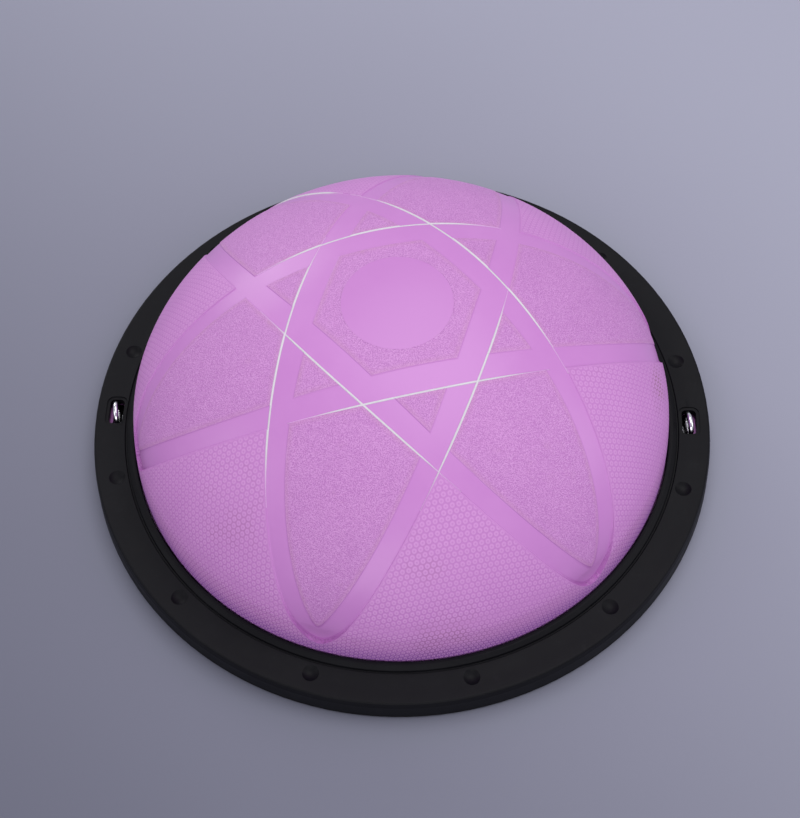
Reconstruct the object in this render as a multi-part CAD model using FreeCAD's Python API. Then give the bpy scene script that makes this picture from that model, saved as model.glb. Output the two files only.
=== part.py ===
"""Balance dome trainer: an air-filled half ball clamped on a round base.

Millimetres, +Z up. The origin is on the floor under the middle of the base. The two anchor rings
stand at either end of the X axis, 2.7 mm towards +Y from it.
"""
import FreeCAD, Part
import math
import os

# ---------------------------------------------------------------- driving dimensions
BASE_RADIUS = 300.0            # outer edge of the base plate
FOOT_HEIGHT = 2.0              # how far the rubber feet hold the base plate off the floor

PLATE_BOTTOM = FOOT_HEIGHT
FLOOR_THICKNESS = 4.0          # flat floor of the base plate
FLOOR_TOP = PLATE_BOTTOM + FLOOR_THICKNESS
LAND_TOP = FLOOR_TOP + 4.0     # ribs and bosses that carry the dome's flange
FLANGE_THICKNESS = 3.0
CLAMP_Z = LAND_TOP + FLANGE_THICKNESS
RING_TOP = PLATE_BOTTOM + 25.0
RING_SKIN = 4.0                # wall under the ring's top face
SKIN_UNDERSIDE = RING_TOP - RING_SKIN
LIP_TOP = RING_TOP + 4.3       # raised inner lip beside the dome
PLATE_EDGE_TOP = PLATE_BOTTOM + 3.0
SEAM = 0.3                     # dark line between the base plate and the ring's skirt

FASTENER_CIRCLE = 279.0        # radius of the screws, recesses and slots
SCREW_COUNT = 12
FIRST_SCREW_DEG = 15.0
SCREW_RADIUS = 2.0
SCREW_CLEARANCE = 0.05
HEAD_RADIUS = 4.0
HEAD_HEIGHT = 2.6
COUNTERBORE_DEPTH = 3.2
RECESS_RADIUS = 7.5            # dished recess on the ring over each screw
RECESS_DEPTH = 3.0

CROWN_RADIUS = 255.4           # superellipse of the dome's outline above the wall
CROWN_Z = PLATE_BOTTOM + 57.7
CROWN_RISE = 166.1
CROWN_POWER_R = 2.025
CROWN_POWER_Z = 1.519
WALL_TOP_Z = PLATE_BOTTOM + 64.0   # the crown passes into the nearly upright wall here
WALL_WIDEST_Z = PLATE_BOTTOM + 30.0
WALL_BULGE = 2.55              # how much wider the wall is there than at its top
WALL_POWER = 1.87
DOME_WALL = 3.0
MEMBRANE = 2.0                 # flat bottom of the air chamber
FLANGE_RADIUS = 288.0
WELD_GAP = 0.05                # line of the weld between the dome's wall and its flange
CURVE_POINTS = 24

SLOT_RADIAL = 14.0
SLOT_TANGENTIAL = 27.0
SLOT_CORNER = 4.5
BORDER_RADIAL = 20.0           # shallow recess around each slot
BORDER_TANGENTIAL = 33.0
BORDER_CORNER = 7.0
BORDER_DEPTH = 0.8
SLOT_WALL_BOTTOM = SKIN_UNDERSIDE - 5.0

WIRE_RADIUS = 2.5              # anchor ring
RING_HALF_WIDTH = 10.2         # to the wire's centre line, and the radius of the arch
RING_PIVOT_Z = LAND_TOP + 3.2
RING_APEX_Z = RING_TOP + 4.5   # centre line of the arch at its top
RING_CORNER = 3.5
RING_TURN_DEG = 8.0            # both clips sit turned by this much, as their screws leave them
PIVOT_CLEARANCE = 0.08

CLIP_THICKNESS = 1.3
CLIP_WIDTH = 9.0
CLIP_SCREW_X = -13.0           # from the middle of the slot, towards the dome
CLIP_TAIL_X = -18.0
PAD_TOP = RING_PIVOT_Z - WIRE_RADIUS - PIVOT_CLEARANCE - CLIP_THICKNESS

FOOT_COUNT = 8
FOOT_CIRCLE = 236.0
FIRST_FOOT_DEG = 22.5
FOOT_RADIUS = 13.0
FOOT_RECESS = 2.0
FOOT_STEM_RADIUS = 3.0

GRIP_INNER = 270.0             # finger recess in the underside, between two screws
GRIP_OUTER = 288.0
GRIP_HALF_DEG = 10.0
GRIP_ROOF = PLATE_BOTTOM + 14.0
GRIP_WALL = 3.0

VALVE_CIRCLE = 150.0
VALVE_DEG = -75.0
VALVE_WELL_RADIUS = 17.0

UP = FreeCAD.Vector(0, 0, 1)
CENTRE = FreeCAD.Vector(0, 0, 0)


# ---------------------------------------------------------------- helpers
def point(r, z):
    """A point of a profile, in the plane of the X and Z axes."""
    return FreeCAD.Vector(r, 0, z)


def polar(radius, degrees, z=0.0):
    angle = math.radians(degrees)
    return FreeCAD.Vector(radius * math.cos(angle), radius * math.sin(angle), z)


def rounded_outline(corners):
    """Closed wire through corners (r, z, fillet radius), rounded with tangent arcs."""
    starts, ends, arcs = [], [], []
    count = len(corners)
    for i, (r, z, fillet) in enumerate(corners):
        here = point(r, z)
        back = (point(*corners[i - 1][:2]) - here).normalize()
        ahead = (point(*corners[(i + 1) % count][:2]) - here).normalize()
        if fillet == 0:
            starts.append(here)
            ends.append(here)
            arcs.append(None)
            continue
        half = back.getAngle(ahead) / 2
        tangent = fillet / math.tan(half)
        inward = (back + ahead).normalize()
        middle = here + inward * (fillet / math.sin(half) - fillet)
        starts.append(here + back * tangent)
        ends.append(here + ahead * tangent)
        arcs.append(Part.Arc(starts[-1], middle, ends[-1]).toShape())
    edges = []
    for i in range(count):
        if arcs[i]:
            edges.append(arcs[i])
        edges.append(Part.LineSegment(ends[i], starts[(i + 1) % count]).toShape())
    return Part.Wire(edges)


def turned(wire, degrees=360.0):
    """Solid made by turning a closed profile about the Z axis."""
    return Part.Face(wire).revolve(CENTRE, UP, degrees)


def hoop(inner, outer, bottom, top):
    """Plain circular rib."""
    return turned(rounded_outline([(inner, bottom, 0), (outer, bottom, 0), (outer, top, 0), (inner, top, 0)]))


def rod(radius, bottom, top, place=CENTRE):
    return Part.makeCylinder(radius, top - bottom, FreeCAD.Vector(place.x, place.y, bottom))


def block(x0, x1, y0, y1, z0, z1):
    return Part.makeBox(x1 - x0, y1 - y0, z1 - z0, FreeCAD.Vector(x0, y0, z0))


def sector(inner, outer, half_degrees, middle_degrees, bottom, top):
    """Part of a circular rib, centred on middle_degrees."""
    outline = rounded_outline([(inner, bottom, 0), (outer, bottom, 0), (outer, top, 0), (inner, top, 0)])
    piece = turned(outline, 2 * half_degrees)
    piece.rotate(CENTRE, UP, middle_degrees - half_degrees)
    return piece


def rounded_prism(length_x, length_y, corner, bottom, top):
    """Upright prism on a rounded rectangle, centred on the Z axis."""
    prism = block(-length_x / 2, length_x / 2, -length_y / 2, length_y / 2, bottom, top)
    uprights = [edge for edge in prism.Edges if abs(edge.Vertexes[0].Z - edge.Vertexes[1].Z) > 0.01]
    return prism.makeFillet(corner, uprights)


def around(count, first_degrees):
    """Evenly spaced directions, in degrees."""
    return [first_degrees + 360.0 * i / count for i in range(count)]


def at_slot(shape, side_degrees, turn_degrees=0.0):
    """Copy of a shape drawn about the middle of a slot, put in the slot at side_degrees."""
    placed = shape.copy()
    placed.rotate(CENTRE, UP, turn_degrees)
    placed.translate(FreeCAD.Vector(FASTENER_CIRCLE, 0, 0))
    placed.rotate(CENTRE, UP, side_degrees)
    return placed


SLOT_SIDES = {"right": 0.55, "left": 179.45}   # both a little behind the middle
SCREW_PLACES = [polar(FASTENER_CIRCLE, a) for a in around(SCREW_COUNT, FIRST_SCREW_DEG)]
FOOT_PLACES = [polar(FOOT_CIRCLE, a) for a in around(FOOT_COUNT, FIRST_FOOT_DEG)]
GRIP_DIRECTIONS = [90.0, 270.0]
VALVE_PLACE = polar(VALVE_CIRCLE, VALVE_DEG)


# ---------------------------------------------------------------- base plate
def base_plate():
    rib_width = 3.0
    locating_rib = 294.9
    locating_width = 4.0
    plate = turned(rounded_outline([
        (0, PLATE_BOTTOM, 0),
        (BASE_RADIUS - 0.6, PLATE_BOTTOM, 0.8),
        (BASE_RADIUS, PLATE_EDGE_TOP, 0.5),
        (locating_rib, PLATE_EDGE_TOP, 0.4),
        (locating_rib, LAND_TOP, 0.6),
        (locating_rib - locating_width, LAND_TOP, 0.6),
        (locating_rib - locating_width, FLOOR_TOP, 0),
        (0, FLOOR_TOP, 0),
    ]))
    additions = [hoop(r, r + rib_width, FLOOR_TOP - 1, LAND_TOP) for r in (118.0, 188.0, 246.0, 264.5, 286.0)]
    for angle in around(12, 0.0):
        rib = block(30.0, 248.0, -rib_width / 2, rib_width / 2, FLOOR_TOP - 1, LAND_TOP)
        rib.rotate(CENTRE, UP, angle)
        additions.append(rib)
    additions += [rod(8.0, FLOOR_TOP - 1, LAND_TOP, place) for place in SCREW_PLACES]
    additions.append(rod(VALVE_WELL_RADIUS + rib_width, FLOOR_TOP - 1, LAND_TOP - 0.2, VALVE_PLACE))
    plate = plate.fuse(additions)

    # room over the clips and under the anchor rings, then a pad for each clip
    for side in SLOT_SIDES.values():
        room = block(-21.0, 8.0, -16.0, 16.0, PAD_TOP, LAND_TOP + 1)
        pad = block(CLIP_TAIL_X - 1, -6.0, -7.0, 7.0, FLOOR_TOP - 1, PAD_TOP)
        plate = plate.cut(at_slot(room, side)).fuse(at_slot(pad, side, RING_TURN_DEG))

    # finger recesses, open to the floor
    grip_wall_deg = math.degrees(GRIP_WALL / GRIP_INNER)
    for middle in GRIP_DIRECTIONS:
        shell = sector(GRIP_INNER - GRIP_WALL, GRIP_OUTER + GRIP_WALL, GRIP_HALF_DEG + grip_wall_deg,
                       middle, PLATE_BOTTOM + 1, GRIP_ROOF + GRIP_WALL)
        hollow = sector(GRIP_INNER, GRIP_OUTER, GRIP_HALF_DEG, middle, PLATE_BOTTOM - 1, GRIP_ROOF)
        plate = plate.fuse(shell).cut(hollow)

    cuts = []
    for place in SCREW_PLACES:
        cuts.append(rod(SCREW_RADIUS + 0.2, PLATE_BOTTOM - 1, LAND_TOP + 1, place))
        cuts.append(rod(HEAD_RADIUS + 0.6, PLATE_BOTTOM - 1, PLATE_BOTTOM + COUNTERBORE_DEPTH, place))
    for place in FOOT_PLACES:
        cuts.append(rod(FOOT_RADIUS + 0.1, PLATE_BOTTOM - 1, PLATE_BOTTOM + FOOT_RECESS, place))
        cuts.append(rod(FOOT_STEM_RADIUS + 0.05, PLATE_BOTTOM, FLOOR_TOP + 1, place))
    cuts.append(rod(VALVE_WELL_RADIUS, PLATE_BOTTOM - 1, LAND_TOP + 1, VALVE_PLACE))
    groove_width, groove_depth = 3.0, 1.0
    for radius in (40.0, 75.0, 110.0):
        cuts.append(hoop(radius, radius + groove_width, PLATE_BOTTOM - 1, PLATE_BOTTOM + groove_depth))
    clip_hole = rod(SCREW_RADIUS + SCREW_CLEARANCE, PLATE_BOTTOM + 1, PAD_TOP + 1, point(CLIP_SCREW_X, 0))
    cuts += [at_slot(clip_hole, side, RING_TURN_DEG) for side in SLOT_SIDES.values()]
    return plate.cut(cuts).removeSplitter()


# ---------------------------------------------------------------- clamp ring
def top_ring():
    skirt_bottom = PLATE_EDGE_TOP + SEAM
    shoulder_z = PLATE_BOTTOM + 18.7
    ring = turned(rounded_outline([
        # outside, from the skirt up over the shoulder
        (299.7, skirt_bottom, 0.4),
        (299.1, shoulder_z, 1.5),
        (297.7, RING_TOP + 0.4, 2.2),
        # shallow valley of the top face, groove, raised lip
        (280.5, RING_TOP - 0.7, 90.0),
        (268.5, RING_TOP + 0.3, 0.5),
        (268.0, RING_TOP - 1.2, 0.3),
        (266.6, RING_TOP - 1.2, 0.3),
        (266.1, RING_TOP + 1.4, 0.9),
        (262.3, LIP_TOP, 2.6),
        (258.4, LIP_TOP, 1.2),
        (258.2, CLAMP_Z, 0.5),
        # underside
        (262.6, CLAMP_Z, 0.5),
        (263.0, SKIN_UNDERSIDE, 1.5),
        (294.4, SKIN_UNDERSIDE, 2.0),
        (295.7, shoulder_z - 3.0, 1.5),
        (296.4, skirt_bottom, 0.4),
    ]))
    bosses = [rod(7.0, CLAMP_Z, SKIN_UNDERSIDE + 1, place) for place in SCREW_PLACES]
    slot_wall = rounded_prism(SLOT_RADIAL + 5, SLOT_TANGENTIAL + 5, SLOT_CORNER + 2.5,
                              SLOT_WALL_BOTTOM, SKIN_UNDERSIDE + 1)
    bosses += [at_slot(slot_wall, side) for side in SLOT_SIDES.values()]
    ring = ring.fuse(bosses)

    cuts = []
    bowl_radius = (RECESS_RADIUS ** 2 + RECESS_DEPTH ** 2) / (2 * RECESS_DEPTH)
    face_z = RING_TOP - 0.5
    for place in SCREW_PLACES:
        bowl_centre = FreeCAD.Vector(place.x, place.y, face_z - RECESS_DEPTH + bowl_radius)
        cuts.append(Part.makeSphere(bowl_radius, bowl_centre))
        cuts.append(rod(SCREW_RADIUS + SCREW_CLEARANCE, CLAMP_Z - 1, SKIN_UNDERSIDE - 1.5, place))
    slot = rounded_prism(SLOT_RADIAL, SLOT_TANGENTIAL, SLOT_CORNER, SLOT_WALL_BOTTOM - 1, RING_TOP + 3)
    border = rounded_prism(BORDER_RADIAL, BORDER_TANGENTIAL, BORDER_CORNER,
                           face_z - BORDER_DEPTH, RING_TOP + 3)
    for side in SLOT_SIDES.values():
        cuts += [at_slot(slot, side), at_slot(border, side)]
    return ring.cut(cuts).removeSplitter()


# ---------------------------------------------------------------- dome
def crown_points(inset):
    """Outline from the apex to the top of the wall, moved in by a wall thickness."""
    rise = CROWN_RISE - inset
    last = math.asin(((WALL_TOP_Z - CROWN_Z) / rise) ** (CROWN_POWER_Z / 2))
    points = []
    for i in range(CURVE_POINTS + 1):
        t = math.pi / 2 + (last - math.pi / 2) * i / CURVE_POINTS
        r = (CROWN_RADIUS - inset) * max(math.cos(t), 0.0) ** (2 / CROWN_POWER_R)
        z = CROWN_Z + rise * math.sin(t) ** (2 / CROWN_POWER_Z)
        points.append(point(0.0 if i == 0 else r, z))
    return points


def wall_points(inset, bottom):
    """Outline of the wall, from the end of the crown down to its foot."""
    top = crown_points(inset)[-1]
    points = [top]
    for i in range(1, 9):
        z = WALL_TOP_Z + (bottom - WALL_TOP_Z) * i / 8
        share = abs(z - WALL_WIDEST_Z) / (WALL_TOP_Z - WALL_WIDEST_Z)
        points.append(point(top.x + WALL_BULGE * (1 - share ** WALL_POWER), z))
    return points


def smooth_curve(points):
    curve = Part.BSplineCurve()
    curve.interpolate(points)
    return curve.toShape()


def joined(points):
    return [Part.LineSegment(a, b).toShape() for a, b in zip(points, points[1:])]


def dome_bladder():
    """Hollow air chamber: crown, wall and a flat bottom, closed all round but for the valve's hole."""
    chamber_bottom = LAND_TOP + MEMBRANE
    outside = wall_points(0.0, CLAMP_Z)
    inside = wall_points(DOME_WALL, chamber_bottom)
    edges = [smooth_curve(crown_points(0.0)), smooth_curve(outside)]
    edges += [smooth_curve(crown_points(DOME_WALL)), smooth_curve(inside)]
    edges += joined([outside[-1], point(outside[-1].x, LAND_TOP), point(0, LAND_TOP),
                     point(0, chamber_bottom), inside[-1]])
    edges += joined([crown_points(DOME_WALL)[0], crown_points(0.0)[0]])
    skin = turned(Part.Wire(Part.__sortEdges__(edges)))
    return skin.cut(rod(SEAT_RADIUS + 0.05, LAND_TOP - 1, chamber_bottom + 1, VALVE_PLACE))


def dome_flange():
    """Flat hoop round the foot of the wall, which the clamp ring and the base plate hold between them."""
    foot = wall_points(0.0, CLAMP_Z)[-1].x
    edge_chamfer = 0.5
    hoop_outline = [
        (foot + WELD_GAP, LAND_TOP, 0),
        (FLANGE_RADIUS - edge_chamfer, LAND_TOP, 0),
        (FLANGE_RADIUS, LAND_TOP + edge_chamfer, 0),
        (FLANGE_RADIUS, CLAMP_Z - edge_chamfer, 0),
        (FLANGE_RADIUS - edge_chamfer, CLAMP_Z, 0),
        (foot + WELD_GAP, CLAMP_Z, 0),
    ]
    flange = turned(rounded_outline(hoop_outline))
    cuts = [rod(SCREW_RADIUS + 0.6, LAND_TOP - 1, CLAMP_Z + 1, place) for place in SCREW_PLACES]
    clip_gap = block(-19.5, 4.9, -17.0, 17.0, LAND_TOP - 1, CLAMP_Z + 1)
    cuts += [at_slot(clip_gap, side) for side in SLOT_SIDES.values()]
    for middle in GRIP_DIRECTIONS:
        cuts.append(sector(GRIP_INNER - GRIP_WALL - 0.5, FLANGE_RADIUS + 1, GRIP_HALF_DEG + 1.2, middle,
                           LAND_TOP - 1, CLAMP_Z + 1))
    return flange.cut(cuts)


# ---------------------------------------------------------------- valve
SEAT_RADIUS = 7.0
SEAT_TOP = LAND_TOP + 8.0
SEAT_FLANGE_BOTTOM = LAND_TOP - 1.8
BORE_BOTTOM_RADIUS = 4.6
BORE_TOP_RADIUS = 4.0
PLUG_CLEARANCE = 0.06


def valve_seat():
    seat = turned(rounded_outline([
        (BORE_BOTTOM_RADIUS, SEAT_FLANGE_BOTTOM, 0),
        (14.5, SEAT_FLANGE_BOTTOM, 0.5),
        (14.5, LAND_TOP, 0),
        (SEAT_RADIUS, LAND_TOP, 0),
        (SEAT_RADIUS, SEAT_TOP, 0.8),
        (BORE_TOP_RADIUS, SEAT_TOP, 0),
    ]))
    seat.translate(VALVE_PLACE)
    return seat


def valve_plug():
    head_height = 1.6
    tab = rounded_prism(3.0, 9.0, 1.2, SEAT_FLANGE_BOTTOM - head_height - 2.2, SEAT_FLANGE_BOTTOM - 1)
    plug = turned(rounded_outline([
        (0, SEAT_FLANGE_BOTTOM - head_height, 0),
        (7.5, SEAT_FLANGE_BOTTOM - head_height, 0.6),
        (7.5, SEAT_FLANGE_BOTTOM - PLUG_CLEARANCE, 0.4),
        (BORE_BOTTOM_RADIUS - PLUG_CLEARANCE, SEAT_FLANGE_BOTTOM - PLUG_CLEARANCE, 0),
        (BORE_TOP_RADIUS - PLUG_CLEARANCE, SEAT_TOP, 0),
        (BORE_TOP_RADIUS - 1.2, SEAT_TOP + 2, 0.8),
        (0, SEAT_TOP + 2, 0),
    ])).fuse(tab)
    plug.translate(VALVE_PLACE)
    return plug


# ---------------------------------------------------------------- anchor rings and clips
def wire_bend(start, pivot, degrees):
    """Quarter or half turn of round wire in the plane of the ring, from an upright or level start."""
    direction = FreeCAD.Vector(1, 0, 0).cross(start - pivot)
    section = Part.Face(Part.Wire(Part.makeCircle(WIRE_RADIUS, start, direction)))
    return section.revolve(pivot, FreeCAD.Vector(1, 0, 0), degrees)


def wire_run(start, end):
    return Part.makeCylinder(WIRE_RADIUS, (end - start).Length, start, end - start)


def anchor_ring():
    """D-shaped ring of round wire in the YZ plane, its straight bar on the pivot axis."""
    half = RING_HALF_WIDTH
    arch_z = RING_APEX_Z - half
    side_z = RING_PIVOT_Z + RING_CORNER
    bar_end = half - RING_CORNER

    def at(y, z):
        return FreeCAD.Vector(0, y, z)

    pieces = [
        wire_bend(at(half, arch_z), at(0, arch_z), 180),
        wire_run(at(-half, arch_z), at(-half, side_z)),
        wire_bend(at(-half, side_z), at(-bar_end, side_z), 90),
        wire_run(at(-bar_end, RING_PIVOT_Z), at(bar_end, RING_PIVOT_Z)),
        wire_bend(at(bar_end, RING_PIVOT_Z), at(bar_end, side_z), 90),
        wire_run(at(half, side_z), at(half, arch_z)),
    ]
    return pieces[0].fuse(pieces[1:]).removeSplitter()


def ring_clip():
    """Strap bent round the ring's bar, with a tail for one screw."""
    bore = WIRE_RADIUS + PIVOT_CLEARANCE
    along = FreeCAD.Vector(0, 1, 0)
    eye_start = FreeCAD.Vector(0, -CLIP_WIDTH / 2, RING_PIVOT_Z)
    eye = Part.makeCylinder(bore + CLIP_THICKNESS, CLIP_WIDTH, eye_start, along)
    tail = block(CLIP_TAIL_X, 0, -CLIP_WIDTH / 2, CLIP_WIDTH / 2, PAD_TOP, PAD_TOP + CLIP_THICKNESS)
    ends = [edge for edge in tail.Edges
            if abs(edge.Vertexes[0].Z - edge.Vertexes[1].Z) > 0.01 and edge.Vertexes[0].X < CLIP_TAIL_X + 1]
    tail = tail.makeFillet(4.0, ends)
    hole = rod(SCREW_RADIUS + 0.2, PAD_TOP - 1, PAD_TOP + CLIP_THICKNESS + 1, point(CLIP_SCREW_X, 0))
    return eye.fuse(tail).cut([Part.makeCylinder(bore, CLIP_WIDTH, eye_start, along), hole])


# ---------------------------------------------------------------- screws and feet
def screw(seat_z, tip_z, head_radius, head_height):
    """Pan-head screw with a cross recess. The head lies beyond seat_z, away from the tip."""
    way = 1 if tip_z > seat_z else -1
    outer_z = seat_z - way * head_height
    body = turned(rounded_outline([
        (0, outer_z, 0),
        (head_radius, outer_z, head_height * 0.45),
        (head_radius, seat_z, 0),
        (SCREW_RADIUS, seat_z, 0),
        (SCREW_RADIUS, tip_z - way * 1.2, 0),
        (SCREW_RADIUS - 1.0, tip_z, 0),
        (0, tip_z, 0),
    ]))
    recess_depth = head_height * 0.55
    low, high = sorted((outer_z - way, outer_z + way * recess_depth))
    arm, half_width = head_radius * 0.6, 0.5
    recess = block(-arm, arm, -half_width, half_width, low, high)
    cross = recess.fuse(block(-half_width, half_width, -arm, arm, low, high))
    return body.cut(cross)


def rim_screws():
    seat_z = PLATE_BOTTOM + COUNTERBORE_DEPTH
    model = screw(seat_z, SKIN_UNDERSIDE - 2.0, HEAD_RADIUS, HEAD_HEIGHT)
    placed = []
    for place in SCREW_PLACES:
        copy = model.copy()
        copy.translate(place)
        placed.append(copy)
    return Part.makeCompound(placed)


def clip_screw():
    seat_z = PAD_TOP + CLIP_THICKNESS
    model = screw(seat_z, PLATE_BOTTOM + 1.4, 3.6, 2.2)
    model.translate(point(CLIP_SCREW_X, 0))
    return model


def foot(place):
    shape = turned(rounded_outline([
        (0, 0, 0),
        (FOOT_RADIUS - 1.0, 0, 1.0),
        (FOOT_RADIUS, PLATE_BOTTOM, 0),
        (FOOT_RADIUS, PLATE_BOTTOM + FOOT_RECESS, 0),
        (FOOT_STEM_RADIUS, PLATE_BOTTOM + FOOT_RECESS, 0),
        (FOOT_STEM_RADIUS, FLOOR_TOP + 2.0, 1.0),
        (0, FLOOR_TOP + 2.0, 0),
    ]))
    shape.translate(place)
    return shape


# ---------------------------------------------------------------- nodes
def all_nodes():
    nodes = {
        "base_plate": base_plate(),
        "top_ring": top_ring(),
        "dome_bladder": dome_bladder(),
        "dome_flange": dome_flange(),
        "valve_seat": valve_seat(),
        "valve_plug": valve_plug(),
        "rim_screws": rim_screws(),
    }
    for side_name, side in SLOT_SIDES.items():
        nodes["anchor_ring_" + side_name] = at_slot(anchor_ring(), side, RING_TURN_DEG)
        nodes["ring_clip_" + side_name] = at_slot(ring_clip(), side, RING_TURN_DEG)
        nodes["clip_screw_" + side_name] = at_slot(clip_screw(), side, RING_TURN_DEG)
    for number, place in enumerate(FOOT_PLACES, start=1):
        nodes["foot_%d" % number] = foot(place)
    return nodes


os.makedirs("parts", exist_ok=True)
for name, shape in all_nodes().items():
    shape.exportStep("parts/" + name + ".step")
    print(name, "solids", len(shape.Solids), "valid", shape.isValid(), "cm3", round(shape.Volume / 1000, 2))
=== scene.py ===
import math

import bmesh
import bpy
import numpy as np
from mathutils import Matrix, Vector
from mathutils.geometry import tessellate_polygon


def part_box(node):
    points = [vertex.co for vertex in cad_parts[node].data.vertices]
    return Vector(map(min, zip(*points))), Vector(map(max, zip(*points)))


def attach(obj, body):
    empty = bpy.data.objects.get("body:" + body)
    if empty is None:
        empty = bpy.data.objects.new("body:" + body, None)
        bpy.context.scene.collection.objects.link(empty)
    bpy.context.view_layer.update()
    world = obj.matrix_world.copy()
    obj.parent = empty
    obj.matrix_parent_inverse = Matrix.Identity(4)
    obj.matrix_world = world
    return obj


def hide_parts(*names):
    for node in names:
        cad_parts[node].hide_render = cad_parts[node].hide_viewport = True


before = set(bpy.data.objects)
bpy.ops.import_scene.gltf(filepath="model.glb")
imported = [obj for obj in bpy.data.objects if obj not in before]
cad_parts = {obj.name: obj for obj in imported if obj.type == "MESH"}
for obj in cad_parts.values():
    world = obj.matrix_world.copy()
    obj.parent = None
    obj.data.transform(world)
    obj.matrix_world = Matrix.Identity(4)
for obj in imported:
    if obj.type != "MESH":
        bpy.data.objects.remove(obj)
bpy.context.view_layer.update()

MM = 0.001                     # the script works in metres

# ---------------------------------------------------------------- sizes read from the frame
DOME_LOW, DOME_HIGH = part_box("dome_bladder")
SEAT_LOW, SEAT_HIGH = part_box("valve_seat")
PLUG_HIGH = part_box("valve_plug")[1]
APEX_Z = DOME_HIGH.z
BOTTOM_Z = DOME_LOW.z

# ---------------------------------------------------------------- the dome's outline, in metres
CROWN_R = 255.4 * MM
CROWN_Z = 59.7 * MM            # level that the crown's curve is drawn from
CROWN_POWER_R = 2.025
CROWN_POWER_Z = 1.519
WALL_TOP_Z = 66 * MM           # the crown turns into the bulging wall here
WALL_WIDEST_Z = 32 * MM
WALL_BULGE = 2.55 * MM
WALL_POWER = 1.87
FOOT_Z = 13 * MM               # top of the flange that the wall stands on
SKIN_END_Z = 23 * MM           # the fine skin ends here, out of sight behind the ring's lip

# ---------------------------------------------------------------- relief, in metres along the dome's skin
CELL = 6.18 * MM               # honeycomb pitch
CELL_EDGE = 0.47               # radius of a honeycomb cell, as a share of the pitch
SPACING = CELL / 4             # of the skin's points, in line with the honeycomb
PETAL_DEG = (15.0, 75.0, 135.0)
OUTER = dict(length=341.5 * MM, width=92.3 * MM, along=1.896, across=1.677, blunt=0.16)
INNER = dict(length=316.0 * MM, width=66.7 * MM, along=2.75, across=1.15, blunt=0.03)
STEP_WIDTH = 1.0 * MM          # of the little wall at the edge of a band
TIP_STEP_WIDTH = 3.0 * MM      # the same wall where the bands are deep
BAND_DEPTH = 0.95 * MM
TIP_DEPTH = 4.8 * MM           # the bands sink deeper towards the petals' tips
TIP_FROM = 245.0 * MM
TIP_FULL = 341.0 * MM
BAND_STEP = 0.55 * MM          # from a petal's grained face down to its band
HEXAGON_DEPTH = 0.40 * MM
DISC_R = 50.0 * MM
DISC_DISH = 0.7 * MM
CREASE_S = 306.0 * MM          # faint groove all round, where the honeycomb almost fades out
CREASE_DEPTH = 0.10 * MM
CREASE_WIDTH = 1.2 * MM
CREASE_FADE = 6 * MM           # how far from the crease the honeycomb is fainter
CELL_RELIEF = 0.07 * MM
PATTERN_EDGE = 0.3 * MM        # honeycomb and grain start this far from a band
PATTERN_FADE = 2.2 * MM        # and reach their full strength over this width
HOLE_R = 7.05 * MM             # in the flat bottom, for the valve
HOLE_SIDES = 48
HOLE_END_Z = PLUG_HIGH.z + 0.3 * MM


# ---------------------------------------------------------------- the dome's skin as a map
def smooth(t):
    """Soft step from 0 to 1 as t goes from 0 to 1."""
    t = np.clip(t, 0.0, 1.0)
    return t * t * (3 - 2 * t)


def meridian():
    """Radius, height and length along the skin, from the apex down to the wall's foot."""
    rise = APEX_Z - CROWN_Z
    last = math.asin(((WALL_TOP_Z - CROWN_Z) / rise) ** (CROWN_POWER_Z / 2))
    t = np.linspace(math.pi / 2, last, 3000)
    r = CROWN_R * np.cos(t).clip(0) ** (2 / CROWN_POWER_R)
    z = CROWN_Z + rise * np.sin(t) ** (2 / CROWN_POWER_Z)
    r[0] = 0.0
    wall_z = np.linspace(WALL_TOP_Z, FOOT_Z, 300)[1:]
    from_widest = np.abs(wall_z - WALL_WIDEST_Z) / (WALL_TOP_Z - WALL_WIDEST_Z)
    wall_r = r[-1] + WALL_BULGE * (1 - from_widest ** WALL_POWER)
    r, z = np.concatenate([r, wall_r]), np.concatenate([z, wall_z])
    s = np.concatenate([[0.0], np.cumsum(np.hypot(np.diff(r), np.diff(z)))])
    return r, z, s


LINE_R, LINE_Z, LINE_S = meridian()
SLOPE_R, SLOPE_Z = np.gradient(LINE_R, LINE_S), np.gradient(LINE_Z, LINE_S)
SKIN_END_S = float(np.interp(-SKIN_END_Z, -LINE_Z, LINE_S))


def on_dome(flat, depth):
    """Points in space for points of the unrolled skin (radius = length along the skin), sunk by depth."""
    s = np.hypot(flat[:, 0], flat[:, 1])
    turn = np.arctan2(flat[:, 1], flat[:, 0])
    slope_r, slope_z = np.interp(s, LINE_S, SLOPE_R), np.interp(s, LINE_S, SLOPE_Z)
    size = np.hypot(slope_r, slope_z)
    normal_r, normal_z = -slope_z / size, slope_r / size
    r = np.interp(s, LINE_S, LINE_R) - depth * normal_r
    z = np.interp(s, LINE_S, LINE_Z) - depth * normal_z
    return np.column_stack([r * np.cos(turn), r * np.sin(turn), z])


def along_across(flat, degrees):
    """Coordinates of the skin's points along an axis through the apex, and across it."""
    a = math.radians(degrees)
    along = flat[:, 0] * math.cos(a) + flat[:, 1] * math.sin(a)
    across = flat[:, 1] * math.cos(a) - flat[:, 0] * math.sin(a)
    return along, across


def rounded_power(w, power, blunt):
    """w to a power, but rounded off near 0, so that an outline has a round tip. It is 1 at 1."""
    return ((w * w + blunt * blunt) ** (power / 2) - blunt ** power) / full_power(power, blunt)


def full_power(power, blunt):
    """What rounded_power divides by, so that it is 1 at 1."""
    return (1 + blunt * blunt) ** (power / 2) - blunt ** power


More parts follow.
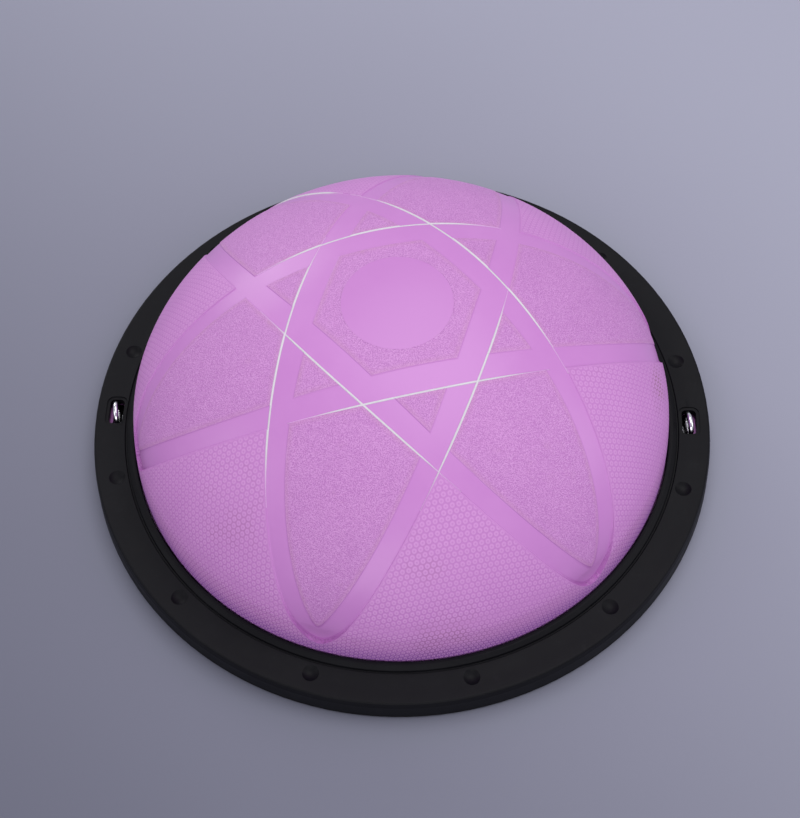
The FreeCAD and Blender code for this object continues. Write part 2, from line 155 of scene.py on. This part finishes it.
def half_width(along, outline):
    """Half the width of a petal outline at a distance from the apex along its axis."""
    power, blunt = outline["across"], outline["blunt"]
    share = max(1 - (abs(along) / outline["length"]) ** outline["along"], 0.0)
    blunted = (share * full_power(power, blunt) + blunt ** power) ** (2 / power)
    return outline["width"] * math.sqrt(blunted - blunt ** 2)


def outline_distance(along, across, outline):
    """Distance to a petal outline, close to it; negative inside."""
    u = np.abs(along) / outline["length"]
    w = np.abs(across) / outline["width"]
    n, m = outline["along"], outline["across"]
    blunt = outline["blunt"]
    value = u ** n + rounded_power(w, m, blunt) - 1
    slope_u = n / outline["length"] * np.maximum(u, 1e-4) ** (n - 1)
    slope_w = m * w * (w * w + blunt * blunt) ** (m / 2 - 1) / full_power(m, blunt) / outline["width"]
    return value / np.hypot(slope_u, slope_w)


def petals(flat):
    """Distances to the outer and inner outline of each petal."""
    outer, inner = [], []
    for degrees in PETAL_DEG:
        along, across = along_across(flat, degrees)
        outer.append(outline_distance(along, across, OUTER))
        inner.append(outline_distance(along, across, INNER))
    return np.array(outer), np.array(inner)


def band_distance(flat):
    """Distance to the edge of the star of bands; negative inside a band."""
    outer, inner = petals(flat)
    return np.maximum(outer, -inner).min(axis=0)


def disc_distance(flat):
    """Distance to the edge of the smooth disc on top; negative inside."""
    return np.hypot(flat[:, 0], flat[:, 1]) - DISC_R


def outside_star(flat):
    """Which points lie outside all petals, in the honeycomb fields."""
    outer, _ = petals(flat)
    return (outer > -PATTERN_EDGE).all(axis=0)


def honeycomb(flat):
    """Height of the honeycomb: 0 in the grooves, 1 on the round cells, less in the cells' dimples."""
    x, y = along_across(flat, PETAL_DEG[0])
    tile = np.array([CELL, CELL * math.sqrt(3)])
    p = np.column_stack([x, y]) / tile
    first = (p - np.round(p)) * tile
    second = (p + 0.5 - np.round(p + 0.5)) * tile
    middle = np.minimum(np.hypot(*first.T), np.hypot(*second.T)) / CELL
    return smooth((CELL_EDGE - middle) / 0.13) - 0.5 * smooth((0.14 - middle) / 0.14)


def tip_share(s):
    """0 over most of the dome, rising to 1 at the petals' tips."""
    return np.clip((s - TIP_FROM) / (TIP_FULL - TIP_FROM), 0, 1) ** 2.4


def pattern_share(flat, inside):
    """How strong the honeycomb or grain is: inside is the distance from the nearest band's edge."""
    s = np.hypot(flat[:, 0], flat[:, 1])
    crease = 1 - 0.45 * np.exp(-((s - CREASE_S) / CREASE_FADE) ** 2)
    return smooth((inside - PATTERN_EDGE) / PATTERN_FADE) * crease


def relief(flat):
    """How far each point of the skin is sunk below the plain dome."""
    s = np.hypot(flat[:, 0], flat[:, 1])
    _, inner = petals(flat)
    band = band_distance(flat)
    outside = outside_star(flat)
    in_hexagon = (inner < 0).all(axis=0)
    tip = tip_share(s)
    floor = BAND_DEPTH + (TIP_DEPTH - BAND_DEPTH) * tip
    dish = DISC_DISH * (1 - np.clip(s / DISC_R, 0, 1) ** 2)
    middle = dish + HEXAGON_DEPTH * smooth((s - DISC_R) / STEP_WIDTH)
    level = np.where(outside, 0.0, np.where(in_hexagon, middle, floor - BAND_STEP))
    down = smooth(-band / (STEP_WIDTH + (TIP_STEP_WIDTH - STEP_WIDTH) * tip))
    cells = -CELL_RELIEF * honeycomb(flat) * pattern_share(flat, band)
    crease = CREASE_DEPTH * np.exp(-((s - CREASE_S) / CREASE_WIDTH) ** 2)
    return level + (floor - level) * down + np.where(outside, cells + crease, 0.0) * (1 - down)


def relief_normals(flat):
    """Outward normals of the skin with its relief."""
    reach = 0.3 * MM
    moves = ([reach, 0], [-reach, 0], [0, reach], [0, -reach])
    sides = [on_dome(flat + move, relief(flat + move)) for move in moves]
    normals = np.cross(sides[0] - sides[1], sides[2] - sides[3])
    return normals / np.linalg.norm(normals, axis=1)[:, None]


# ---------------------------------------------------------------- mesh helpers
def mesh_piece(name, points, faces):
    mesh = bpy.data.meshes.new(name)
    mesh.from_pydata([tuple(p) for p in points], [], faces)
    mesh.validate()
    mesh.polygons.foreach_set("use_smooth", [True] * len(mesh.polygons))
    piece = bpy.data.objects.new(name, mesh)
    bpy.context.scene.collection.objects.link(piece)
    return piece


def fix_normals(piece):
    """Turns all faces of a closed piece outward."""
    bm = bmesh.new()
    bm.from_mesh(piece.data)
    bmesh.ops.recalc_face_normals(bm, faces=bm.faces)
    bm.to_mesh(piece.data)
    bm.free()


def point_attribute(piece, name, kind, values):
    """Stores a value at each point of a piece, for its materials to read."""
    attribute = piece.data.attributes.new(name, kind, "POINT")
    field = "vector" if kind == "FLOAT_VECTOR" else "value"
    attribute.data.foreach_set(field, np.asarray(values, np.float32).ravel())


# ---------------------------------------------------------------- dome
def lattice():
    """Evenly spaced points of the unrolled skin in rows along the petals, and their triangles."""
    a, b = math.radians(PETAL_DEG[0]), math.radians(PETAL_DEG[0] + 60)
    count = int(SKIN_END_S / SPACING * 1.16) + 2
    i, j = np.meshgrid(np.arange(-count, count + 1), np.arange(-count, count + 1), indexing="ij")
    x = SPACING * (i * math.cos(a) + j * math.cos(b))
    y = SPACING * (i * math.sin(a) + j * math.sin(b))
    flat = np.column_stack([x.ravel(), y.ravel()])
    side = 2 * count + 1
    index = np.arange(side * side).reshape(side, side)
    low = np.stack([index[:-1, :-1], index[1:, :-1], index[:-1, 1:]], -1).reshape(-1, 3)
    high = np.stack([index[1:, :-1], index[1:, 1:], index[:-1, 1:]], -1).reshape(-1, 3)
    triangles = np.concatenate([low, high])
    inside = np.hypot(flat[:, 0], flat[:, 1]) < SKIN_END_S - 0.3 * SPACING
    triangles = triangles[inside[triangles].all(axis=1)]
    used = np.unique(triangles)
    renumber = np.full(len(flat), -1)
    renumber[used] = np.arange(len(used))
    return flat[used], renumber[triangles]


def rim_of(triangles, flat):
    """Indices of the points on the open edge, in order round the apex."""
    edges = np.sort(triangles[:, [[0, 1], [1, 2], [2, 0]]].reshape(-1, 2), axis=1)
    pairs, times = np.unique(edges, axis=0, return_counts=True)
    rim = np.unique(pairs[times == 1])
    return rim[np.argsort(np.arctan2(flat[rim, 1], flat[rim, 0]))]


def refined(flat, triangles, reach):
    """Halves each edge that has both ends within reach of a step, and splits the triangles to match."""
    near = np.minimum(np.abs(band_distance(flat) + STEP_WIDTH / 2), np.abs(disc_distance(flat))) < reach
    near &= np.hypot(flat[:, 0], flat[:, 1]) < SKIN_END_S - 4 * SPACING
    ends = np.sort(triangles[:, [[0, 1], [1, 2], [2, 0]]], axis=2)
    split = near[ends].all(axis=2)
    names = ends[..., 0] * len(flat) + ends[..., 1]
    unique, number = np.unique(names[split], return_inverse=True)
    middle = np.full(split.shape, -1)
    middle[split] = len(flat) + number
    flat = np.concatenate([flat, (flat[unique // len(flat)] + flat[unique % len(flat)]) / 2])

    # turn each triangle so that a lone split edge comes first, and a lone whole edge last
    count = split.sum(axis=1)
    after_whole_edge = ((~split).argmax(axis=1) + 1) % 3
    turn = np.select([count == 1, count == 2], [split.argmax(axis=1), after_whole_edge], 0)
    order = (turn[:, None] + np.arange(3)) % 3
    a, b, c = np.take_along_axis(triangles, order, axis=1).T
    ab, bc, ca = np.take_along_axis(middle, order, axis=1).T
    patterns = {
        0: [(a, b, c)],
        1: [(a, ab, c), (ab, b, c)],
        2: [(a, ab, c), (ab, b, bc), (ab, bc, c)],
        3: [(a, ab, ca), (ab, b, bc), (ca, bc, c), (ab, bc, ca)],
    }
    made = [np.column_stack(corners)[count == n] for n, parts in patterns.items() for corners in parts]
    return flat, np.concatenate(made)


def wall_and_bottom(points, rim, rim_turn):
    """Points and faces of the wall below the fine skin, and of the flat bottom with the valve's hole."""
    faces, extra = [], []

    def add(places):
        extra.append(places)
        last = len(points) + sum(len(e) for e in extra)
        return np.arange(last - len(places), last)

    def join(above, below):
        for k in range(len(above)):
            n = (k + 1) % len(above)
            faces.append((above[k], below[k], below[n], above[n]))

    levels = list(np.linspace(SKIN_END_Z, FOOT_Z, 6)[1:]) + [BOTTOM_Z]
    above = rim
    for z in levels:
        r = np.interp(-max(z, FOOT_Z), -LINE_Z, LINE_R)
        below = add(np.column_stack([r * np.cos(rim_turn), r * np.sin(rim_turn), np.full(len(rim), z)]))
        join(above, below)
        above = below

    # the valve's hole, and the pocket that its tube and plug stand in
    seat = (SEAT_LOW + SEAT_HIGH) / 2
    turn = np.arange(HOLE_SIDES) * 2 * math.pi / HOLE_SIDES
    hole_x, hole_y = seat.x + HOLE_R * np.cos(turn), seat.y + HOLE_R * np.sin(turn)
    mouth = add(np.column_stack([hole_x, hole_y, np.full(HOLE_SIDES, BOTTOM_Z)]))
    pocket = add(np.column_stack([hole_x, hole_y, np.full(HOLE_SIDES, HOLE_END_Z)]))
    join(pocket, mouth)
    faces.append(tuple(pocket))
    every = np.concatenate([points] + extra)
    loops = [[Vector(every[i]) for i in above], [Vector(every[i]) for i in mouth]]
    order = list(above) + list(mouth)
    faces += [tuple(order[i] for i in t) for t in tessellate_polygon(loops)]
    return every, faces


def dome_skin():
    """The whole dome: fine skin with its relief, plain wall, flat bottom, and what its materials read."""
    flat, triangles = lattice()
    rim = rim_of(triangles, flat)
    rim_turn = np.arctan2(flat[rim, 1], flat[rim, 0])
    flat[rim] = SKIN_END_S * np.column_stack([np.cos(rim_turn), np.sin(rim_turn)])
    for reach in (3.2 * MM, 1.2 * MM):
        flat, triangles = refined(flat, triangles, reach)
    skin_count = len(flat)
    points, faces = wall_and_bottom(on_dome(flat, relief(flat)), rim, rim_turn)
    piece = mesh_piece("dome", points, triangles.tolist() + [tuple(int(i) for i in f) for f in faces])
    fix_normals(piece)
    normals = np.zeros((len(points), 3))
    normals[:skin_count] = relief_normals(flat)
    piece.data.normals_split_custom_set_from_vertices(normals.tolist())

    x, y = along_across(flat, PETAL_DEG[0])
    skin = np.zeros((len(points), 3))
    skin[:skin_count] = np.column_stack([x, y, np.zeros(skin_count)])
    point_attribute(piece, "skin", "FLOAT_VECTOR", skin)
    band, share = np.zeros(len(points)), np.zeros(len(points))
    band[:skin_count] = band_distance(flat)
    share[:skin_count] = pattern_share(flat, band[:skin_count])
    point_attribute(piece, "pattern", "FLOAT", share)
    point_attribute(piece, "band", "FLOAT", band * 1000)      # in millimetres
    tip = np.zeros(len(points))
    tip[:skin_count] = tip_share(np.hypot(flat[:, 0], flat[:, 1]))
    point_attribute(piece, "tip", "FLOAT", tip)

    # zones: 0 honeycomb, 1 grained, 2 smooth
    middle = flat[triangles].mean(axis=1)
    zone = np.full(len(piece.data.polygons), 2)
    rough = np.where(outside_star(middle), 0, 1)
    rough[(band_distance(middle) < 0) | (disc_distance(middle) < 0)] = 2
    zone[:len(triangles)] = rough
    piece.data.polygons.foreach_set("material_index", zone.astype(np.int32))
    return piece


# thin white lines: petal axis, side of it, and where they start and end along it in millimetres
WHITE_LINES = (
    (15.0, 1, -118, 122),
    (135.0, -1, -147, 155),
    # this line stands in for a sheen on the band's wall: a painted reflection drawn as a line
    (135.0, -1, 165, 272),
    (75.0, -1, -178, 54),
    (15.0, -1, -122, 124),
    (135.0, 1, -167, 93),
    (75.0, 1, -210, 64),
)
LINE_HALF = 0.95 * MM          # half a line's width
LINE_HEIGHT = 0.16 * MM
LINE_INSET = 0.55 * MM         # from a band's outer edge to the middle of its line
LINE_STEP = 0.8                # millimetres from one section of a line to the next
LINE_FADE = 0.30               # share of its length over which a line thins out at each end


def white_line(name, axis_deg, side, start, end):
    """A thin raised line down the wall of a band's outer edge, narrower towards its ends."""
    count = int((end - start) / LINE_STEP)
    axis = math.radians(axis_deg)
    u_way = np.array([math.cos(axis), math.sin(axis)])
    w_way = np.array([-math.sin(axis), math.cos(axis)])
    along = np.linspace(start, end, count) * MM
    middle = np.array([u * u_way + side * (half_width(u, OUTER) - LINE_INSET) * w_way for u in along])
    way = np.gradient(middle, axis=0)
    way /= np.hypot(way[:, 0], way[:, 1])[:, None]
    cross = np.column_stack([-way[:, 1], way[:, 0]])
    share = np.linspace(0, 1, count)
    strength = smooth(share / LINE_FADE) * smooth((1 - share) / LINE_FADE)
    taper = 0.35 + 0.65 * strength
    section = [(-1.0, 0.0), (-0.6, 1.0), (0.0, 1.15), (0.6, 1.0), (1.0, 0.0), (0.0, -2.0)]
    rings = []
    for across, rise in section:
        place = middle + cross * (LINE_HALF * taper * across)[:, None]
        rings.append(on_dome(place, relief(place) - LINE_HEIGHT * rise))
    points = np.stack(rings, axis=1).reshape(-1, 3)
    size = len(section)
    faces = []
    for i in range(count - 1):
        for k in range(size):
            n = (k + 1) % size
            faces.append((i * size + k, i * size + n, (i + 1) * size + n, (i + 1) * size + k))
    faces.append(tuple(range(size)))
    faces.append(tuple((count - 1) * size + k for k in reversed(range(size))))
    piece = mesh_piece(name, points, faces)
    fix_normals(piece)
    point_attribute(piece, "strength", "FLOAT", np.repeat(strength, size))
    return piece


# ---------------------------------------------------------------- materials
class Shader:
    """A material and short calls for its nodes."""

    def __init__(self, name):
        self.material = bpy.data.materials.new(name)
        self.material.use_nodes = True
        self.tree = self.material.node_tree
        self.surface = self.tree.nodes["Principled BSDF"]

    def node(self, kind, inputs=(), **settings):
        made = self.tree.nodes.new(kind)
        for key, value in settings.items():
            setattr(made, key, value)
        for key, value in dict(inputs).items():
            self.put(made.inputs[key], value)
        return made

    def put(self, socket, value):
        if isinstance(value, bpy.types.NodeSocket):
            self.tree.links.new(value, socket)
        else:
            socket.default_value = value

    def math(self, operation, a, b=0.0, c=0.0):
        made = self.node("ShaderNodeMath", {0: a, 1: b, 2: c}, operation=operation)
        return made.outputs[0]

    def ramp(self, value, from_min, from_max, to_min=0.0, to_max=1.0):
        ends = {"From Min": from_min, "From Max": from_max, "To Min": to_min, "To Max": to_max}
        made = self.node("ShaderNodeMapRange", {"Value": value, **ends}, interpolation_type="SMOOTHSTEP")
        return made.outputs["Result"]

    def vector(self, operation, a, b=(0, 0, 0)):
        made = self.node("ShaderNodeVectorMath", {0: a, 1: b}, operation=operation)
        return made.outputs["Value" if operation in ("LENGTH", "DOT_PRODUCT") else "Vector"]

    def place(self):
        return self.node("ShaderNodeTexCoord").outputs["Object"]

    def noise(self, scale, detail=2.0, roughness=0.5):
        inputs = {"Vector": self.place(), "Scale": scale, "Detail": detail, "Roughness": roughness}
        return self.node("ShaderNodeTexNoise", inputs).outputs["Fac"]

    def mix(self, share, a, b):
        made = self.node("ShaderNodeMix", data_type="RGBA")
        self.put(made.inputs["Factor"], share)
        self.put(made.inputs["A"], a)
        self.put(made.inputs["B"], b)
        return made.outputs["Result"]

    def bump(self, height, distance, normal=None):
        inputs = {"Height": height, "Distance": distance, "Strength": 1.0}
        made = self.node("ShaderNodeBump", inputs)
        if normal:
            self.put(made.inputs["Normal"], normal)
        return made.outputs["Normal"]

    def finish(self, colour, roughness, normal=None, constants=()):
        self.put(self.surface.inputs["Base Color"], colour)
        self.put(self.surface.inputs["Roughness"], roughness)
        if normal:
            self.put(self.surface.inputs["Normal"], normal)
        for key, value in dict(constants).items():
            self.put(self.surface.inputs[key], value)
        return self.material


PURPLE = (0.600, 0.262, 0.605, 1)
# the PVC's darker tone; it is also the colour of the painted shade in the grooves and along the bands' edges
PURPLE_DEEP = (0.515, 0.195, 0.535, 1)
# painted highlight for the honeycomb cells' rims
RIM_HIGHLIGHT_PURPLE = (0.690, 0.350, 0.690, 1)
# painted shade for the dome's foot, beside the ring's lip
FOOT_SHADE_VIOLET = (0.260, 0.080, 0.400, 1)
# painted shade in the deep tips of the bands; the flange's scuffs also use this colour
PURPLE_SHADE = (0.400, 0.105, 0.420, 1)
GRAIN_DEEP = (0.430, 0.150, 0.450, 1)
GRAIN_PALE = (0.750, 0.420, 0.750, 1)
DIRT = (0.360, 0.150, 0.290, 1)
DUST = (0.500, 0.235, 0.430, 1)
STAIN = (0.241, -0.002, 0.097)         # middle of the dirt by the right-hand band's end, in metres
BLACK = (0.0034, 0.0033, 0.0048, 1)
SOOT = (0.020, 0.020, 0.021, 1)
IVORY = (0.78, 0.77, 0.74, 1)


def from_cell(shader):
    """Distance from the middle of the nearest honeycomb cell, as a share of the pitch."""
    skin = shader.node("ShaderNodeAttribute", attribute_name="skin").outputs["Vector"]
    tile = (CELL, CELL * math.sqrt(3), 1.0)
    p = shader.vector("DIVIDE", skin, tile)
    lengths = []
    for shift in (0.5, 0.0):
        part = shader.vector("FRACTION", shader.vector("ADD", p, (shift, shift, 0.0)))
        centred = shader.vector("SUBTRACT", part, (0.5, 0.5, 0.0))
        lengths.append(shader.vector("LENGTH", shader.vector("MULTIPLY", centred, (1.0, math.sqrt(3), 0.0))))
    return shader.math("MINIMUM", *lengths)


def attribute(shader, name):
    """A number that dome_skin or white_line stored at each point."""
    return shader.node("ShaderNodeAttribute", attribute_name=name).outputs["Fac"]


def blotched(shader, dark=PURPLE_DEEP, pale=PURPLE):
    """Slow, faint changes of colour over the PVC, and the noise that makes them."""
    blotch = shader.noise(24.0, 4.0, 0.6)
    return shader.mix(shader.ramp(blotch, 0.3, 0.7, 0.35, 0.65), dark, pale), blotch


def dome_honeycomb():
    """Round flat cells with a small dimple each, in a net of grooves; the grooves and dimples are darkened
    with painted shade, the cells' rims lightened with a painted highlight, and the skin darkens with painted
    shade towards the dome's foot.
    """
    shader = Shader("dome_honeycomb")
    middle = from_cell(shader)
    height_up = shader.node("ShaderNodeSeparateXYZ", {"Vector": shader.place()}).outputs["Z"]
    # the pattern is stronger towards the lip: deeper bumps there, and more painted shade in the grooves and
    # painted highlight on the rims
    low = shader.ramp(height_up, 120 * MM, 50 * MM)
    share = shader.math("MULTIPLY", attribute(shader, "pattern"), shader.math("MULTIPLY_ADD", low, 0.7, 1.0))
    cell = shader.ramp(middle, CELL_EDGE, 0.37)
    # the cells' rims, which get a painted highlight below
    ring = shader.math("MULTIPLY", shader.ramp(middle, 0.12, 0.24), shader.ramp(middle, 0.40, 0.30))
    dimple = shader.ramp(middle, 0.12, 0.03)
    height = shader.math("MULTIPLY", shader.math("MULTIPLY_ADD", dimple, -0.7, cell), share)
    normal = shader.bump(height, CELL_RELIEF)
    normal = shader.bump(shader.noise(1900.0, 3.0, 0.6), 0.03 * MM, normal)
    body, blotch = blotched(shader)
    # painted shade: the grooves and the cells' dimples are darkened in colour as if in shadow; the groove
    # mask also carries the real dirt below
    groove = shader.math("MULTIPLY", shader.math("SUBTRACT", 1.0, cell), share)
    dark = shader.math("MAXIMUM", groove, shader.math("MULTIPLY", dimple, share))
    body = shader.mix(shader.math("MULTIPLY", dark, 0.75), body, PURPLE_DEEP)
    dirt = shader.ramp(shader.noise(11.0, 4.0, 0.65), 0.56, 0.72, 0.0, 0.30)
    from_stain = shader.vector("SUBTRACT", shader.place(), STAIN)
    from_stain = shader.vector("MULTIPLY", from_stain, (1.0, 0.55, 1.0))
    stain = shader.ramp(shader.vector("LENGTH", from_stain), 21 * MM, 4 * MM)
    broken = shader.ramp(shader.noise(70.0, 3.0, 0.6), 0.36, 0.60, 0.15, 0.85)
    dirt = shader.math("MAXIMUM", dirt, shader.math("MULTIPLY", stain, broken))
    body = shader.mix(shader.math("MULTIPLY", groove, dirt), body, DIRT)
    # painted shade: darker violet towards the dome's foot, where the ring's lip shades it
    body = shader.mix(shader.ramp(height_up, 60 * MM, 30 * MM, 0.0, 0.80), body, FOOT_SHADE_VIOLET)
    # painted highlight: a paler ring on each cell, as if its rim caught the light
    body = shader.mix(shader.math("MULTIPLY", ring, shader.math("MULTIPLY", share, 0.40)), body, RIM_HIGHLIGHT_PURPLE)
    return shader.finish(body, shader.ramp(blotch, 0.3, 0.7, 0.48, 0.58), normal)


def dome_grain():
    """Fine pebbled grain, with a little dust where it meets the bands."""
    shader = Shader("dome_grain")
    pebble = shader.ramp(shader.noise(1150.0, 0.5), 0.32, 0.68)
    share = attribute(shader, "pattern")
    normal = shader.bump(shader.math("MULTIPLY", pebble, share), 0.20 * MM)
    body, blotch = blotched(shader)
    body = shader.mix(shader.ramp(pebble, 0.5, 0.0, 0.0, 0.76), body, GRAIN_DEEP)
    body = shader.mix(shader.ramp(pebble, 0.5, 1.0, 0.0, 0.36), body, GRAIN_PALE)
    worn = shader.noise(75.0, 5.0, 0.7)
    fringe = shader.ramp(attribute(shader, "band"), 6.0, 0.4)
    dust = shader.math("MULTIPLY_ADD", fringe, 0.42, shader.ramp(worn, 0.58, 0.80, 0.0, 0.35))
    dust = shader.math("MULTIPLY", dust, shader.ramp(worn, 0.25, 0.65, 0.45, 1.0))
    body = shader.mix(dust, body, DUST)
    return shader.finish(body, shader.ramp(blotch, 0.3, 0.7, 0.50, 0.60), normal)


def smooth_pvc(name):
    """Glossier PVC of the bands and the disc, with painted shade along the bands' edges and in the deep
    tips.
    """
    shader = Shader(name)
    fine = shader.noise(700.0, 3.0, 0.6)
    body, blotch = blotched(shader, (0.532, 0.204, 0.556, 1), (0.583, 0.243, 0.602, 1))
    # painted shade along each band's edge, on the step and at its foot
    edge = shader.ramp(attribute(shader, "band"), -1.6, -0.2, 0.0, 0.55)
    body = shader.mix(edge, body, PURPLE_DEEP)
    # painted shade in the deep recess at each petal's tip
    near_edge = shader.ramp(attribute(shader, "band"), -3.4, -2.4)
    deep = shader.math("MULTIPLY", shader.ramp(attribute(shader, "tip"), 0.12, 0.75), near_edge)
    body = shader.mix(shader.math("MULTIPLY", deep, 0.6), body, PURPLE_SHADE)
    roughness = shader.ramp(blotch, 0.3, 0.7, 0.32, 0.40)
    return shader.finish(body, roughness, shader.bump(fine, 0.02 * MM))


def line_paint():
    """White ink that thins out to the colour of the PVC at the ends of a line; on the third line it is a
    painted reflection.
    """
    shader = Shader("white_line_paint")
    blotch = shader.noise(300.0, 3.0, 0.6)
    paint = shader.mix(blotch, (0.58, 0.55, 0.60, 1), (0.70, 0.67, 0.71, 1))
    thin = shader.ramp(attribute(shader, "strength"), 0.0, 0.75, 0.0, 1.0)
    body = shader.mix(thin, (0.64, 0.36, 0.66, 1), paint)
    return shader.finish(body, shader.ramp(blotch, 0.2, 0.8, 0.40, 0.5))


def moulded_plastic(name, colour, scuffed, grain_scale, low, high, level=0.5):
    """Fine-grained moulded plastic with some scuffing; low and high are its roughness, level its shine."""
    shader = Shader(name)
    grain = shader.noise(grain_scale, 2.0, 0.6)
    cloud = shader.noise(14.0, 5.0, 0.6)
    scuff = shader.noise(95.0, 6.0, 0.72)
    normal = shader.bump(grain, 0.05 * MM)
    body = shader.mix(shader.ramp(scuff, 0.55, 0.85, 0.0, 0.55), colour, scuffed)
    body = shader.mix(shader.ramp(cloud, 0.45, 0.75, 0.0, 0.35), body, scuffed)
    rough = shader.ramp(cloud, 0.3, 0.7, low, high)
    return shader.finish(body, rough, normal, {"Specular IOR Level": level})


def chrome():
    """Polished plating on the anchor rings' wire."""
    shader = Shader("chrome_wire_finish")
    haze = shader.noise(260.0, 4.0, 0.65)
    marks = shader.noise(1400.0, 2.0, 0.5)
    body = shader.mix(haze, (0.76, 0.77, 0.80, 1), (0.86, 0.86, 0.88, 1))
    roughness = shader.ramp(haze, 0.3, 0.75, 0.06, 0.16)
    return shader.finish(body, roughness, shader.bump(marks, 0.01 * MM), {"Metallic": 1.0})


def zinc():
    """Duller plating on clips and screws."""
    shader = Shader("zinc_steel_finish")
    haze = shader.noise(180.0, 4.0, 0.65)
    marks = shader.noise(900.0, 3.0, 0.6)
    body = shader.mix(haze, (0.42, 0.43, 0.46, 1), (0.60, 0.60, 0.61, 1))
    roughness = shader.ramp(haze, 0.3, 0.75, 0.20, 0.36)
    return shader.finish(body, roughness, shader.bump(marks, 0.02 * MM), {"Metallic": 1.0})


# ---------------------------------------------------------------- camera, floor and light
def camera():
    """The photograph's view: from above the front, a little to the right, slightly rolled."""
    lens_mm, long_side_mm = 79.43, 36.0
    distance, elevation, azimuth, roll = 1.7895, math.radians(58.0), math.radians(3.69), math.radians(-2.06)
    aim_side, aim_back = -0.84 * MM, 26.3 * MM
    data = bpy.data.cameras.new("camera")
    data.lens, data.sensor_width, data.sensor_fit = lens_mm, long_side_mm, "AUTO"
    data.clip_start, data.clip_end = 0.05, 50.0
    side = Vector((math.cos(azimuth), math.sin(azimuth), 0))
    away = Vector((-math.sin(azimuth), math.cos(azimuth), 0))
    aim = side * aim_side + away * aim_back + Vector((0, 0, 2 * MM))
    back = -away * math.cos(elevation) + Vector((0, 0, math.sin(elevation)))
    up = away * math.sin(elevation) + Vector((0, 0, math.cos(elevation)))
    right = side * math.cos(roll) + up * math.sin(roll)
    up = up * math.cos(roll) - side * math.sin(roll)
    made = bpy.data.objects.new("camera", data)
    rotation = Matrix((right, up, back)).transposed().to_4x4()
    made.matrix_world = Matrix.Translation(aim + back * distance) @ rotation
    bpy.context.scene.collection.objects.link(made)
    bpy.context.scene.camera = made


def floor():
    """Pale paper with painted shade that darkens it from the back right to the front left."""
    size = 6.0
    corners = [(-size, -size, 0), (size, -size, 0), (size, size, 0), (-size, size, 0)]
    piece = mesh_piece("floor", corners, [(0, 1, 2, 3)])
    shader = Shader("floor_paper")
    across = shader.vector("DOT_PRODUCT", shader.place(), (0.68, 0.73, 0.0))
    cloud = shader.noise(1.2, 2.0, 0.5)
    tone = shader.mix(cloud, (0.343, 0.345, 0.434, 1), (0.358, 0.360, 0.449, 1))
    # painted shade: the paper darkens towards the front left, in place of the light falling off
    tone = shader.mix(shader.ramp(across, 0.80, -0.85), tone, (0.100, 0.103, 0.144, 1))
    piece.data.materials.append(shader.finish(tone, shader.ramp(cloud, 0.2, 0.8, 0.75, 0.85)))


def soft_light(name, place, aim, width, depth, power):
    """A white rectangular lamp, in metres and watts, that faces aim."""
    data = bpy.data.lights.new(name, "AREA")
    data.shape, data.size, data.size_y = "RECTANGLE", width, depth
    data.energy = power
    made = bpy.data.objects.new(name, data)
    made.location = place
    made.rotation_euler = (Vector(aim) - Vector(place)).to_track_quat("-Z", "Y").to_euler()
    bpy.context.scene.collection.objects.link(made)


def lights():
    soft_light("overhead", (0.4, 0.35, 2.4), (0, 0, 0.1), 2.6, 2.0, 34.0)
    soft_light("front_fill", (0.0, -2.3, 0.9), (0, 0, 0.1), 2.2, 1.0, 15.0)
    soft_light("rear_left_box", (-1.4, 1.8, 0.9), (0, 0, 0.1), 1.0, 1.0, 10.0)
    soft_light("right_box", (1.9, -0.3, 0.9), (0, 0, 0.1), 1.0, 1.0, 5.5)
    soft_light("left_box", (-1.9, -0.6, 0.9), (0, 0, 0.1), 1.0, 1.0, 4.5)
    world = bpy.data.worlds.new("studio")
    world.use_nodes = True
    world.node_tree.nodes["Background"].inputs["Color"].default_value = (0.84, 0.84, 0.92, 1)
    world.node_tree.nodes["Background"].inputs["Strength"].default_value = 0.58
    bpy.context.scene.world = world
    bpy.context.scene.view_settings.view_transform = "Standard"


# ---------------------------------------------------------------- put together
def set_material(node, material):
    """Gives a CAD node its material; its shape stays as it is."""
    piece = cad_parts[node]
    for place in piece.material_slots:
        place.material = material


def make_dome():
    """The dome in place of the plain CAD one, and its white lines."""
    skin = dome_skin()
    for material in (dome_honeycomb(), dome_grain(), smooth_pvc("dome_smooth")):
        skin.data.materials.append(material)
    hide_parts("dome_bladder")
    paint = line_paint()
    pieces = [skin]
    for number, line in enumerate(WHITE_LINES, start=1):
        piece = white_line("white_line_%d" % number, *line)
        piece.data.materials.append(paint)
        pieces.append(piece)
    for piece in pieces:
        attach(piece, "base")


def finish_cad_nodes():
    """Materials for every CAD node that is kept as it is."""
    ring = moulded_plastic("ring_plastic", BLACK, (0.012, 0.012, 0.014, 1), 1300.0, 0.46, 0.58, 0.13)
    plate = moulded_plastic("plate_plastic", BLACK, (0.015, 0.015, 0.017, 1), 900.0, 0.48, 0.62, 0.13)
    rubber = moulded_plastic("foot_rubber_finish", SOOT, (0.06, 0.06, 0.06, 1), 700.0, 0.75, 0.9)
    seat = moulded_plastic("valve_seat_pvc", (0.42, 0.14, 0.47, 1), (0.50, 0.22, 0.54, 1), 600.0, 0.4, 0.55)
    plug = moulded_plastic("valve_plug_plastic", IVORY, (0.62, 0.61, 0.58, 1), 600.0, 0.35, 0.5)
    flange = moulded_plastic("flange_pvc", PURPLE_DEEP, PURPLE_SHADE, 700.0, 0.40, 0.50)
    bright, zinc_plate = chrome(), zinc()
    set_material("top_ring", ring)
    set_material("base_plate", plate)
    set_material("valve_seat", seat)
    set_material("dome_flange", flange)
    set_material("valve_plug", plug)
    set_material("rim_screws", zinc_plate)
    for side in ("left", "right"):
        set_material("anchor_ring_" + side, bright)
        set_material("ring_clip_" + side, zinc_plate)
        set_material("clip_screw_" + side, zinc_plate)
    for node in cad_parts:
        if node.startswith("foot_"):
            set_material(node, rubber)


camera()
floor()
lights()
make_dome()
finish_cad_nodes()
